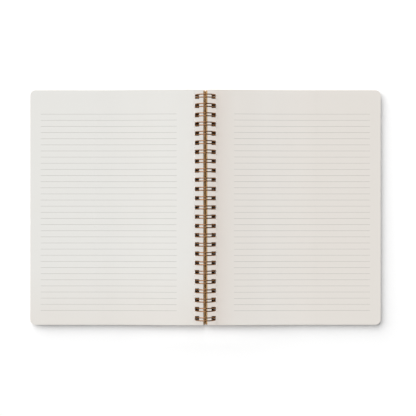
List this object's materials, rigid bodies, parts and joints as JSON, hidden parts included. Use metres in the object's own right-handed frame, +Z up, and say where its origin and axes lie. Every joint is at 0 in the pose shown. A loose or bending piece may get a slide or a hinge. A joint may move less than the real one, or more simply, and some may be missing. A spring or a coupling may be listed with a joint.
{
  "type": "open spiral notebook",
  "caption": "Twin-loop wire-bound ruled notebook lying open, with leaves and card covers that turn on the wire.",
  "frame": {"origin": "on the table under the middle of the spine", "axes": "+X across the spread to the right-hand page, +Y along the spine to the head of the leaves, +Z up"},
  "size_m": [0.3226, 0.216, 0.0191],
  "materials": {
    "cover_card": "matt kraft card",
    "ruled_paper": "uncoated warm white paper with pale ruled lines",
    "copper_wire": "steel wire with a copper-gold coating, satin"
  },
  "bodies": {
    "binding_wire": {"binding_wire": "copper_wire"},
    "left_pages": {"left_pages": "ruled_paper"},
    "right_pages": {"right_pages": "ruled_paper"},
    "front_cover": {"front_cover": "cover_card"},
    "back_cover": {"back_cover": "cover_card"}
  },
  "joints": [
    {"name": "left_pages_turn", "type": "hinge", "parent": "binding_wire", "child": "left_pages", "pos_m": [0, 0, 0.00961], "axis": [0, 1, 0], "range_deg": [0, 91.3]},
    {"name": "right_pages_turn", "type": "hinge", "parent": "binding_wire", "child": "right_pages", "pos_m": [0, 0, 0.00961], "axis": [0, -1, 0], "range_deg": [0, 91.3]},
    {"name": "front_cover_fold", "type": "hinge", "parent": "left_pages", "child": "front_cover", "pos_m": [-0.00194, 0, 0.00431], "axis": [0, -1, 0], "range_deg": [0, 88]},
    {"name": "back_cover_fold", "type": "hinge", "parent": "right_pages", "child": "back_cover", "pos_m": [0.00194, 0, 0.00431], "axis": [0, 1, 0], "range_deg": [0, 88]}
  ]
}
